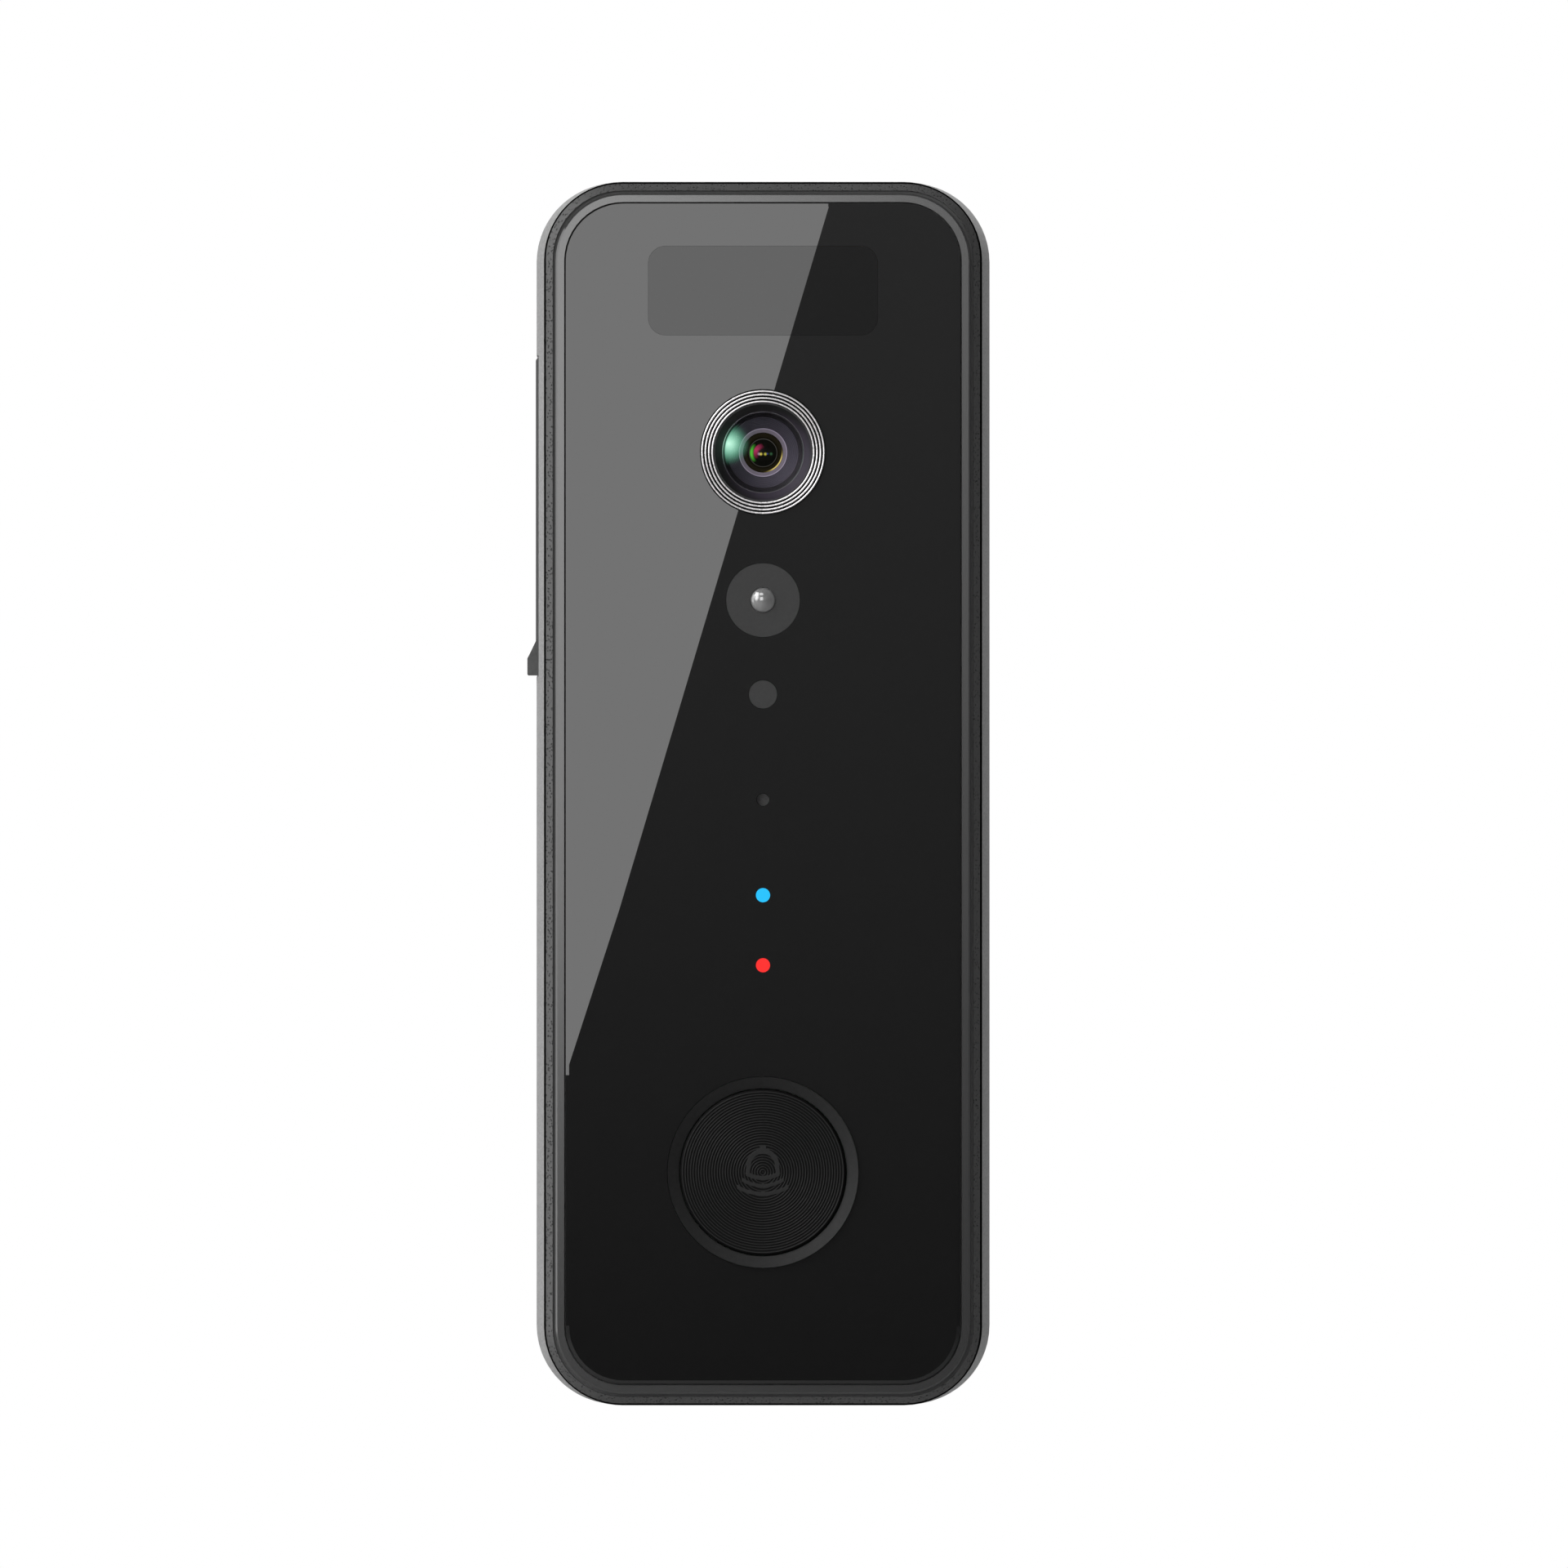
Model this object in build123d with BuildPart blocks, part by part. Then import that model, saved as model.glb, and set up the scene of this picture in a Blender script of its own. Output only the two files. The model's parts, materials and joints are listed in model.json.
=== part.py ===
from build123d import *
import os

# Video doorbell. The wall is the plane y = 0, the front faces -Y, +X is right seen from the front
# and +Z is up. The origin is the centre of the bracket's four wall screws, on the wall.
# "Depth" is the distance in front of the wall. All sizes are in millimetres.

# Overall body
body_width = 52.0
body_height = 140.0
corner_radius = 9.0
front_depth = 28.0
wall = 3.0

# Depth levels, from the wall forward
rear_rim = 0.8
plate_depth = 1.8
recess_floor = 2.1
inner_floor = 4.1
board_rear = 8.0
board_front = 9.0
taper_start = 12.0
seam_rear = 22.2
seam_front = 22.5
mid_rear = 22.8
sensor_rear = 23.6
sensor_front = 24.4
ledge_rear = 24.7
ledge_front = 25.9
glass_rear = 26.6

# Half widths of the front pieces; each half height is larger by front_rise
front_rise = 44.87
seam_half = 25.08
frame_half = 24.80
pocket_half = 24.02
bezel_half = 23.69
bezel_inner_half = 22.71
glass_half = 22.52
frame_corner = 8.6

# Heights of the features on the front, from the centre
window_z = 57.45
camera_z = 39.0
motion_z = 22.1
light_z = 11.33
mic_z = -0.7
blue_z = -11.6
red_z = -19.6
button_z = -43.25

# Camera
trim_radius = 7.13
trim_inner = 5.64
element_radius = 4.5

# Button
button_ring_radius = 10.9
button_ring_inner = 9.6
button_radius = 9.5

# Batteries
cell_radius = 9.1
cell_length = 65.0
cell_depth = 13.3
cell_bottom = -47.5

# Side port flap
flap_top = 50.0
flap_bottom = 13.57
flap_near = 7.0
flap_far = 17.0
flap_thickness = 1.2
hinge_x = -25.5
usb_z = 40.0
card_z = 27.4
reset_z = 46.9

# Bracket
bracket_width = 44.0
bracket_low = -58.0
bracket_high = 61.0
screw_spacing_x = 26.0
screw_spacing_z = 66.0
screw_hole_radius = 2.1
hook_x = 16.0
hook_z = 50.0
lift_travel = 9.0
security_depth = 5.4

cavity_half = body_width / 2 - wall
cavity_half_height = 67.6
housing_screw_places = [(x, z) for x in (-20.0, 20.0) for z in (-61.0, 60.0)]
main_screw_places = [(-3.0, 21.6), (18.5, 21.6), (-4.0, 53.0)]
door_screw_places = [(-13.0, -52.8), (13.0, -52.8)]
sensor_screw_places = [(x, z) for x in (-18.5, 18.5) for z in (-24.0, 30.0)]


def facing(depth):
    """Plane parallel to the wall at this depth, seen from the front."""
    return Plane.XZ.offset(depth)


def rounded(half_width, radius, half_height=None):
    """Rounded rectangle centred on the body, in the current sketch."""
    tall = half_height or half_width + front_rise
    RectangleRounded(2 * half_width, 2 * tall, radius)


def disc(depth, thickness, radius, z, hole=0.0, x=0.0):
    """Round piece facing forward, with its rear face at this depth."""
    with BuildPart() as piece:
        with BuildSketch(facing(depth)):
            with Locations((x, z)):
                Circle(radius)
                if hole:
                    Circle(hole, mode=Mode.SUBTRACT)
        extrude(amount=thickness)
    return piece


def blocks(depth, thickness, width, height, places, radius=0.0):
    """Rectangular pieces facing forward, one at each (x, z) place."""
    with BuildPart() as piece:
        with BuildSketch(facing(depth)):
            with Locations(*places):
                if radius:
                    RectangleRounded(width, height, radius)
                else:
                    Rectangle(width, height)
        extrude(amount=thickness)
    return piece


def turned(z, corners):
    """Piece turned about the forward axis at height z, from (radius, depth) corners."""
    with BuildPart() as piece:
        with BuildSketch(Plane.YZ):
            with BuildLine():
                Polyline([(-depth, z + radius) for radius, depth in corners], close=True)
            make_face()
        revolve(axis=Axis((0, 0, z), (0, 1, 0)))
    return piece


def sag(radius, edge_radius, edge_sag):
    """Height of a spherical surface above its edge, at this radius."""
    sphere = (edge_radius**2 + edge_sag**2) / (2 * edge_sag)
    return edge_sag - sphere + (sphere**2 - radius**2) ** 0.5


def lens(z, radius, rear, front, front_sag, rear_sag):
    """Round lens: a domed front above the front edge, a rear surface domed the same way."""
    half = radius / 2
    with BuildPart() as piece:
        with BuildSketch(Plane.YZ):
            with BuildLine():
                Line((-rear, z + radius), (-front, z + radius))
                ThreePointArc(
                    (-front, z + radius),
                    (-front - sag(half, radius, front_sag), z + half),
                    (-front - front_sag, z),
                )
                Line((-front - front_sag, z), (-rear - rear_sag, z))
                ThreePointArc(
                    (-rear - rear_sag, z),
                    (-rear - sag(half, radius, rear_sag), z + half),
                    (-rear, z + radius),
                )
            make_face()
        revolve(axis=Axis((0, 0, z), (0, 1, 0)))
    return piece


def outer_body(grow=0.0):
    """Outside of the rear housing: straight at the wall, then narrowing towards the seam."""
    taper = seam_rear - taper_start
    narrowing = body_width / 2 - seam_half
    with BuildPart() as body:
        with BuildSketch(facing(rear_rim)):
            rounded(body_width / 2 + grow, corner_radius, body_height / 2 + grow)
        extrude(amount=taper_start - rear_rim)
        fillet(body.faces().sort_by(Axis.Y)[-1].outer_wire().edges(), 0.9)
        for step in (0.0, 0.35, 0.7, 1.0):
            half = body_width / 2 - narrowing * step**1.8
            with BuildSketch(facing(taper_start + taper * step)):
                rounded(half + grow, corner_radius, body_height / 2 + grow)
        loft()
    return body.part


# Rear housing: shell with the bracket recess behind, the battery opening, screw posts,
# hook pockets, the port window on the left and the speaker slots below.
with BuildPart() as rear_housing:
    add(outer_body())
    with BuildSketch(facing(inner_floor)):
        rounded(cavity_half, 6.2, cavity_half_height)
    extrude(amount=seam_rear - inner_floor, mode=Mode.SUBTRACT)
    with BuildSketch(facing(inner_floor)):
        with Locations(*housing_screw_places):
            Circle(2.9)
    extrude(amount=mid_rear - inner_floor)
    with BuildSketch(facing(inner_floor)):
        with Locations(*main_screw_places):
            Circle(2.2)
    extrude(amount=board_rear - inner_floor)
    with BuildSketch(facing(inner_floor)):
        with Locations((-hook_x - 0.2, 45.5), (hook_x + 0.2, 45.5)):
            Rectangle(10.2, 18)
    extrude(amount=3.1)
    with BuildSketch(facing(inner_floor)):
        with Locations((0, -65.9)):
            Rectangle(19.2, 3.4)
        with Locations((0, -63.0)):
            Rectangle(8, 7)
    extrude(amount=6.1)
    with BuildSketch(facing(inner_floor)):
        with Locations((0, -51.6), (0, 18.9)):
            Rectangle(40, 1.2)
    extrude(amount=15.0)
    with BuildSketch(facing(rear_rim)):
        with Locations((0, -3.0)):
            RectangleRounded(bracket_width + 1.0, 130.0, 6)
    extrude(amount=recess_floor - rear_rim, mode=Mode.SUBTRACT)
    with BuildSketch(facing(rear_rim - 0.2)):
        with Locations((0, -68.5)):
            Rectangle(16, 5)
    extrude(amount=8.2, mode=Mode.SUBTRACT)
    with BuildSketch(facing(recess_floor)):
        with Locations((-hook_x, hook_z - lift_travel), (hook_x, hook_z - lift_travel)):
            Rectangle(8.4, 6.4)
        with Locations((-hook_x, 45.5), (hook_x, 45.5)):
            Rectangle(4.4, 13.2)
    extrude(amount=3.7, mode=Mode.SUBTRACT)
    with BuildSketch(facing(3.9)):
        with Locations((-hook_x, 45.6), (hook_x, 45.6)):
            Rectangle(8.4, 15.6)
    extrude(amount=1.9, mode=Mode.SUBTRACT)
    with BuildSketch(facing(recess_floor)):
        with Locations((0, -17.8)):
            RectangleRounded(42.4, 74.4, 3)
    extrude(amount=1.1, mode=Mode.SUBTRACT)
    with BuildSketch(facing(recess_floor)):
        with Locations((0, -16.6)):
            RectangleRounded(38.6, 66.0, 2)
    extrude(amount=2.0, mode=Mode.SUBTRACT)
    with BuildSketch(facing(3.2)):
        with Locations((0, -16.6)):
            RectangleRounded(41.2, 68.6, 3)
            RectangleRounded(39.4, 66.8, 2.4, mode=Mode.SUBTRACT)
    extrude(amount=0.5, mode=Mode.SUBTRACT)
    with BuildSketch(facing(recess_floor)):
        with Locations(*housing_screw_places):
            Circle(2.2)
    extrude(amount=2.6, mode=Mode.SUBTRACT)
    with BuildSketch(facing(recess_floor)):
        with Locations(*housing_screw_places):
            Circle(1.1)
    extrude(amount=mid_rear - recess_floor, mode=Mode.SUBTRACT)
    with BuildSketch(facing(recess_floor)):
        with Locations(*door_screw_places):
            Circle(0.55)
    extrude(amount=2.0, mode=Mode.SUBTRACT)
    with BuildSketch(facing(5.6)):
        with Locations(*main_screw_places):
            Circle(0.8)
    extrude(amount=board_rear - 5.6, mode=Mode.SUBTRACT)
    with BuildSketch(Plane.XY.offset(-66.1)):
        with Locations((0, -security_depth)):
            Circle(2.1)
    extrude(amount=6.2, mode=Mode.SUBTRACT)
    with BuildSketch(Plane.XY.offset(-70.5)):
        with GridLocations(2.4, 1, 9, 1):
            with Locations((0, -16)):
                SlotOverall(7.5, 1.1, rotation=90)
    extrude(amount=3.0, mode=Mode.SUBTRACT)
    with BuildSketch(Plane.YZ.offset(-26.6)):
        with Locations((-(flap_near + flap_far) / 2, (flap_top + flap_bottom) / 2 + 0.05)):
            Rectangle(flap_far - flap_near + 0.3, flap_top - flap_bottom + 0.4)
    extrude(amount=1.9, mode=Mode.SUBTRACT)
    with BuildSketch(Plane.YZ.offset(-25.0)):
        with Locations((-10.6, usb_z)):
            SlotOverall(9.6, 3.9, rotation=90)
        with Locations((-9.9, card_z)):
            Rectangle(1.9, 12.4)
        with Locations((-9.9, reset_z)):
            Circle(1.1)
    extrude(amount=2.2, mode=Mode.SUBTRACT)

# Brass insert that takes the security screw
with BuildPart() as threaded_insert:
    with BuildSketch(Plane.XY.offset(-66.0)):
        with Locations((0, -security_depth)):
            Circle(2.08)
            Circle(1.35, mode=Mode.SUBTRACT)
    extrude(amount=6.0)

# Black rubber seal between the rear housing and the front frame
with BuildPart() as housing_seal:
    with BuildSketch(facing(seam_rear)):
        rounded(seam_half - 0.02, 8.95, body_height / 2 - 0.03)
        RectangleRounded(2 * cavity_half + 0.6, 2 * cavity_half_height + 1.2, 7.0, mode=Mode.SUBTRACT)
    extrude(amount=seam_front - seam_rear)

# Front frame: grained rim with a pocket for the bezel ring and posts for the housing screws
with BuildPart() as front_frame:
    with BuildSketch(facing(seam_front)):
        rounded(frame_half, frame_corner)
    extrude(amount=27.3 - seam_front)
    chamfer(front_frame.faces().sort_by(Axis.Y)[0].outer_wire().edges(), 0.78)
    with BuildSketch(facing(ledge_front)):
        rounded(pocket_half, 7.9)
    extrude(amount=2.0, mode=Mode.SUBTRACT)
    with BuildSketch(facing(ledge_rear)):
        rounded(21.3, 5.2)
    extrude(amount=2.0, mode=Mode.SUBTRACT)
    with BuildSketch(facing(seam_front)):
        rounded(23.3, 7.0)
    extrude(amount=ledge_rear - seam_front, mode=Mode.SUBTRACT)
    with BuildSketch(facing(sensor_rear)):
        with Locations(*housing_screw_places):
            Circle(2.2)
    extrude(amount=ledge_front - sensor_rear)
    with BuildSketch(facing(sensor_rear)):
        with Locations(*housing_screw_places):
            Circle(1.05)
    extrude(amount=1.8, mode=Mode.SUBTRACT)

# Bezel ring: smooth ring that carries the glass on an inner ledge
with BuildPart() as bezel_ring:
    with BuildSketch(facing(ledge_front)):
        rounded(pocket_half - 0.04, 7.86)
    extrude(amount=0.9)
    with BuildSketch(facing(ledge_front)):
        rounded(bezel_half, 7.7)
    extrude(amount=27.95 - ledge_front)
    chamfer(bezel_ring.faces().sort_by(Axis.Y)[0].outer_wire().edges(), 0.2)
    with BuildSketch(facing(glass_rear)):
        rounded(bezel_inner_half, 6.75)
    extrude(amount=2.0, mode=Mode.SUBTRACT)
    with BuildSketch(facing(ledge_front)):
        rounded(21.6, 5.6)
    extrude(amount=1.0, mode=Mode.SUBTRACT)

# Dark glass with its openings
with BuildPart() as front_panel:
    with BuildSketch(facing(glass_rear)):
        rounded(glass_half, 6.6)
    extrude(amount=front_depth - glass_rear)
    glass_face = front_panel.faces().sort_by(Axis.Y)[0]
    chamfer(glass_face.outer_wire().edges(), 0.37, 0.07, reference=glass_face)
    with BuildSketch(facing(glass_rear)):
        with Locations((0, window_z)):
            RectangleRounded(26.24, 10.21, 1.98)
        with Locations((0, camera_z)):
            Circle(trim_radius + 0.08)
        with Locations((0, motion_z)):
            Circle(4.23)
        with Locations((0, light_z)):
            Circle(1.63)
        with Locations((0, mic_z)):
            Circle(0.75)
        with Locations((0, blue_z), (0, red_z)):
            Circle(0.81)
        with Locations((0, button_z)):
            Circle(button_ring_radius + 0.06)
    extrude(amount=front_depth - glass_rear, mode=Mode.SUBTRACT)

ir_window = blocks(glass_rear, front_depth - glass_rear, 26.2, 10.17, [(0, window_z)], 1.96)

# Camera, from the front to the back
with BuildPart() as lens_trim_ring:
    with BuildSketch(facing(25.0)):
        with Locations((0, camera_z)):
            Circle(trim_radius)
            Circle(trim_inner, mode=Mode.SUBTRACT)
    extrude(amount=28.25 - 25.0)
    with BuildSketch(Plane.YZ):
        with Locations(*[(-28.25, camera_z + radius) for radius in (6.96, 6.57, 6.18, 5.79)]):
            Circle(0.11)
    revolve(axis=Axis((0, 0, camera_z), (0, 1, 0)))

lens_hood = turned(camera_z, [(5.61, 26.2), (5.61, 28.1), (5.5, 28.1), (4.56, 26.9), (4.56, 26.2)])
front_lens_element = lens(camera_z, element_radius, 25.5, 26.3, 1.2, 0.9)
lens_barrel = turned(
    camera_z,
    [
        (5.5, 26.15),
        (4.53, 26.15),
        (4.53, 25.3),
        (4.05, 25.3),
        (4.0, 25.0),
        (2.8, 24.3),
        (2.8, 23.5),
        (2.32, 23.5),
        (2.32, 22.0),
        (1.7, 22.0),
        (1.7, 18.0),
        (3.6, 15.0),
        (3.6, 12.6),
        (6.0, 12.6),
        (6.0, 20.0),
        (5.5, 20.0),
    ],
)
lens_retainer_ring = disc(23.55, 0.7, 2.77, camera_z, 2.3)
inner_lens_element = lens(camera_z, 2.26, 22.2, 22.9, 0.4, 0.3)
rear_lens_element = lens(camera_z, 1.65, 20.4, 21.2, 0.5, 0.2)
lens_holder = turned(
    camera_z,
    [(7.4, 9.0), (7.4, 19.0), (6.03, 19.0), (6.03, 12.0), (4.9, 12.0), (4.9, 9.0)],
)
ir_cut_filter = disc(10.9, 0.4, 4.85, camera_z)
image_sensor = blocks(board_front, 1.2, 6.4, 5.2, [(0, camera_z)])

# Motion sensor, light sensor, indicators and microphone
motion_window = disc(glass_rear, front_depth - glass_rear, 4.2, motion_z, 1.46)
motion_lens = lens(motion_z, 1.44, 26.8, 27.9, 0.75, 0.45)
motion_sensor = disc(sensor_front, 1.9, 2.6, motion_z)
light_sensor_window = disc(glass_rear, front_depth - glass_rear, 1.6, light_z)
light_sensor = blocks(sensor_front, 0.8, 2.0, 2.0, [(0, light_z)])


def light_pipe(z):
    """Clear pipe from a lamp on the board to the front of the glass, with a flange behind it."""
    with BuildPart() as pipe:
        with BuildSketch(facing(25.4)):
            with Locations((0, z)):
                Circle(0.79)
        extrude(amount=front_depth - 25.4)
        with BuildSketch(facing(25.8)):
            with Locations((0, z)):
                Circle(1.6)
        extrude(amount=0.7)
    return pipe


blue_light_pipe = light_pipe(blue_z)
red_light_pipe = light_pipe(red_z)
status_leds = blocks(sensor_front, 0.7, 1.6, 0.8, [(0, blue_z), (0, red_z)])
infrared_leds = blocks(sensor_front, 1.6, 3.5, 3.5, [(-8, window_z), (0, window_z), (8, window_z)])
microphone = blocks(sensor_front, 1.0, 3.8, 3.0, [(0, mic_z)])
microphone_gasket = disc(25.5, glass_rear - 25.5, 2.4, mic_z, 0.7)

# Doorbell button: ring, cap on a stem, silicone return pad, plunger and switch
button_ring = turned(
    button_z,
    [
        (button_ring_inner, 25.2),
        (10.2, 25.2),
        (10.2, glass_rear),
        (button_ring_radius, glass_rear),
        (button_ring_radius, 28.3),
        (button_ring_inner, 27.65),
    ],
)
button_cap = turned(
    button_z,
    [
        (0, 27.9),
        (9.17, 27.9),
        (button_radius, 27.65),
        (button_radius, 26.5),
        (8.6, 26.5),
        (8.6, 27.1),
        (1.2, 27.1),
        (1.2, 25.8),
        (0, 25.8),
    ],
)
button_return_pad = turned(
    button_z,
    [(1.3, 25.5), (3.0, 25.5), (3.4, 25.9), (9.5, 25.9), (9.5, 26.4), (1.3, 26.4)],
)
switch_plunger = disc(25.1, 0.7, 0.9, button_z)
with BuildPart() as tact_switch:
    with BuildSketch(facing(sensor_front)):
        with Locations((0, button_z)):
            Rectangle(5.2, 5.2)
    extrude(amount=0.85)
    with BuildSketch(facing(24.5)):
        with Locations((0, button_z)):
            Circle(1.0)
    extrude(amount=1.0, mode=Mode.SUBTRACT)

# Sensor board behind the glass, and the mid frame that carries it
with BuildPart() as sensor_board:
    with BuildSketch(facing(sensor_rear)):
        rounded(21.0, 4.8, 64.6)
        with Locations((0, camera_z)):
            Circle(6.6, mode=Mode.SUBTRACT)
        with Locations(*housing_screw_places):
            Circle(2.9, mode=Mode.SUBTRACT)
        with Locations(*sensor_screw_places):
            Circle(0.85, mode=Mode.SUBTRACT)
    extrude(amount=sensor_front - sensor_rear)

with BuildPart() as mid_frame:
    with BuildSketch(facing(mid_rear)):
        rounded(23.1, 6.8)
        with Locations((0, camera_z)):
            Circle(8.0, mode=Mode.SUBTRACT)
        with Locations((11, 65.2)):
            Rectangle(11, 1.6, mode=Mode.SUBTRACT)
        with Locations(*housing_screw_places):
            Circle(1.2, mode=Mode.SUBTRACT)
        with Locations(*sensor_screw_places):
            Circle(0.85, mode=Mode.SUBTRACT)
    extrude(amount=sensor_rear - mid_rear)

# Main board with the parts on it
with BuildPart() as main_board:
    with BuildSketch(facing(board_rear)):
        with Locations((0, 37.6)):
            RectangleRounded(41.0, 35.6, 1.0)
        with Locations(*main_screw_places):
            Circle(0.85, mode=Mode.SUBTRACT)
    extrude(amount=board_front - board_rear)

main_board_chips = blocks(6.8, 1.2, 8.0, 9.0, [(-4.8, 42.0), (4.8, 42.0), (0, 31.5)])
with BuildPart() as shield_can:
    with BuildSketch(facing(5.4)):
        with Locations((0, 37.0)):
            RectangleRounded(20.0, 24.0, 1.0)
    extrude(amount=board_rear - 5.4)
    with BuildSketch(facing(5.7)):
        with Locations((0, 37.0)):
            RectangleRounded(19.4, 23.4, 0.8)
    extrude(amount=board_rear - 5.7, mode=Mode.SUBTRACT)

wifi_module = blocks(board_front, 2.2, 11.0, 9.0, [(14.0, 29.0)], 0.4)
wifi_antenna = blocks(5.0, 12.0, 30.0, 0.3, [(-1.0, 67.3)])

with BuildPart() as usb_port:
    with BuildSketch(Plane.YZ.offset(-22.8)):
        with Locations((-10.65, usb_z)):
            SlotOverall(8.94, 3.2, rotation=90)
    extrude(amount=7.2)
    with BuildSketch(Plane.YZ.offset(-22.8)):
        with Locations((-10.65, usb_z)):
            SlotOverall(8.3, 2.6, rotation=90)
    extrude(amount=6.0, mode=Mode.SUBTRACT)
    with BuildSketch(Plane.YZ.offset(-22.2)):
        with Locations((-10.65, usb_z)):
            Rectangle(0.7, 6.6)
    extrude(amount=5.5)

with BuildPart() as memory_card_socket:
    with BuildSketch(facing(board_front)):
        with Locations((-15.4, card_z)):
            Rectangle(14.6, 13.8)
    extrude(amount=1.8)
    with BuildSketch(facing(9.4)):
        with Locations((-17.0, card_z)):
            Rectangle(12.4, 11.4)
    extrude(amount=0.9, mode=Mode.SUBTRACT)

reset_switch = blocks(board_front, 1.8, 2.4, 3.2, [(-20.9, reset_z)])

# Reset button that pokes through the left wall behind the flap
with BuildPart() as reset_button:
    with BuildSketch(Plane.YZ.offset(-24.75)):
        with Locations((-9.9, reset_z)):
            Circle(1.0)
    extrude(amount=1.9)
    with BuildSketch(Plane.YZ.offset(-22.95)):
        with Locations((-9.9, reset_z)):
            Circle(1.6)
    extrude(amount=0.3)

# Rubber flap over the ports: a thin plate with the housing's outline, two plugs and a pull tab
with BuildPart() as port_flap:
    with BuildSketch(Plane.XZ.offset(flap_near + 0.03)):
        with BuildLine():
            Polyline(
                (-26.6, flap_bottom),
                (hinge_x + flap_thickness / 2, flap_bottom),
                (hinge_x + flap_thickness / 2, flap_top - 0.6),
            )
            ThreePointArc(
                (hinge_x + flap_thickness / 2, flap_top - 0.6),
                (hinge_x + 0.4243, flap_top - 0.6 + 0.4243),
                (hinge_x, flap_top),
            )
            Polyline((hinge_x, flap_top), (-26.6, flap_top), (-26.6, flap_bottom))
        make_face()
    extrude(amount=flap_far - flap_near - 0.06)
    add(outer_body(0.1), mode=Mode.INTERSECT)
    fillet(
        port_flap.edges().filter_by(Axis.Y).group_by(Axis.Z)[-1].sort_by(Axis.X)[0],
        0.35,
    )
    with BuildSketch(Plane.YZ.offset(hinge_x + flap_thickness / 2)):
        with Locations((-10.6, usb_z)):
            SlotOverall(8.4, 2.7, rotation=90)
        with Locations((-9.9, card_z)):
            Rectangle(0.9, 11.2)
    extrude(amount=1.5)
    with BuildSketch(Plane.XZ.offset(flap_near + 0.8)):
        with BuildLine():
            Line((-25.6, 18.4), (-25.6, flap_bottom))
            Line((-25.6, flap_bottom), (-26.95, flap_bottom))
            Line((-26.95, flap_bottom), (-27.03, flap_bottom + 0.1))
            Line((-27.03, flap_bottom + 0.1), (-27.03, 15.5))
            Spline((-27.03, 15.5), (-26.6, 16.35), (-26.2, 17.2), (-25.6, 18.4))
        make_face()
    extrude(amount=flap_far - flap_near - 1.6)

# Batteries with their springs and contacts, and the door behind them
with BuildPart() as battery_cells:
    with BuildSketch(Plane.XY.offset(cell_bottom)):
        with Locations((-9.3, -cell_depth), (9.3, -cell_depth)):
            Circle(cell_radius)
    extrude(amount=cell_length - 0.8)
    fillet(battery_cells.edges().filter_by(GeomType.CIRCLE), 0.5)
    with BuildSketch(Plane.XY.offset(cell_bottom + cell_length - 0.9)):
        with Locations((-9.3, -cell_depth), (9.3, -cell_depth)):
            Circle(2.8)
    extrude(amount=0.9)

with BuildPart() as battery_contacts:
    with BuildSketch(facing(8.5)):
        with Locations((-9.3, 17.75), (9.3, 17.75)):
            Rectangle(11, 0.4)
        with Locations((0, -50.75)):
            Rectangle(30, 0.4)
    extrude(amount=9.6)

with BuildPart() as battery_springs:
    for x in (-9.3, 9.3):
        with BuildLine() as coil:
            Helix(pitch=0.95, height=2.1, radius=3.0, center=(x, -cell_depth, -50.15))
        with BuildSketch(Plane(origin=coil.line @ 0, z_dir=coil.line % 0)):
            Circle(0.35)
        sweep()

with BuildPart() as battery_door:
    with BuildSketch(facing(2.15)):
        with Locations((0, -17.8)):
            RectangleRounded(42.2, 74.2, 2.9)
    extrude(amount=1.03)
    with BuildSketch(facing(3.18)):
        with Locations((0, -16.6)):
            RectangleRounded(38.2, 65.6, 1.8)
    extrude(amount=0.8)
    with BuildSketch(facing(2.15)):
        with GridLocations(26, 2.4, 1, 5):
            with Locations((0, -16.6)):
                SlotOverall(22, 1.0)
    extrude(amount=0.4, mode=Mode.SUBTRACT)
    with BuildSketch(facing(2.15)):
        with Locations(*door_screw_places):
            Circle(1.95)
    extrude(amount=2.0, mode=Mode.SUBTRACT)

with BuildPart() as battery_door_seal:
    with BuildSketch(facing(3.22)):
        with Locations((0, -16.6)):
            RectangleRounded(41.1, 68.5, 2.95)
            RectangleRounded(39.5, 66.9, 2.45, mode=Mode.SUBTRACT)
    extrude(amount=0.46)


def screws(head_depth, head_radius, head_height, shank_radius, length, places, forward=True):
    """Pan-head screws with a cross recess; the shank runs forward from the head, or back."""
    way = 1 if forward else -1
    with BuildPart() as group:
        with BuildSketch(facing(head_depth)):
            with Locations(*places):
                Circle(head_radius)
        extrude(amount=way * head_height)
        with BuildSketch(facing(head_depth)):
            with Locations(*places):
                Rectangle(head_radius * 1.3, head_radius * 0.28)
                Rectangle(head_radius * 0.28, head_radius * 1.3)
        extrude(amount=way * head_height * 0.6, mode=Mode.SUBTRACT)
        with BuildSketch(facing(head_depth + way * head_height)):
            with Locations(*places):
                Circle(shank_radius)
        extrude(amount=way * length)
    return group


housing_screws = screws(3.0, 2.0, 1.7, 1.0, 20.4, housing_screw_places)
battery_door_screws = screws(2.2, 1.85, 0.95, 0.5, 0.85, door_screw_places)
with BuildPart() as board_screws:
    add(screws(9.9, 1.5, 0.9, 0.78, 3.3, main_screw_places, False).part)
    add(screws(25.3, 1.5, 0.9, 0.78, 1.6, sensor_screw_places, False).part)

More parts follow.
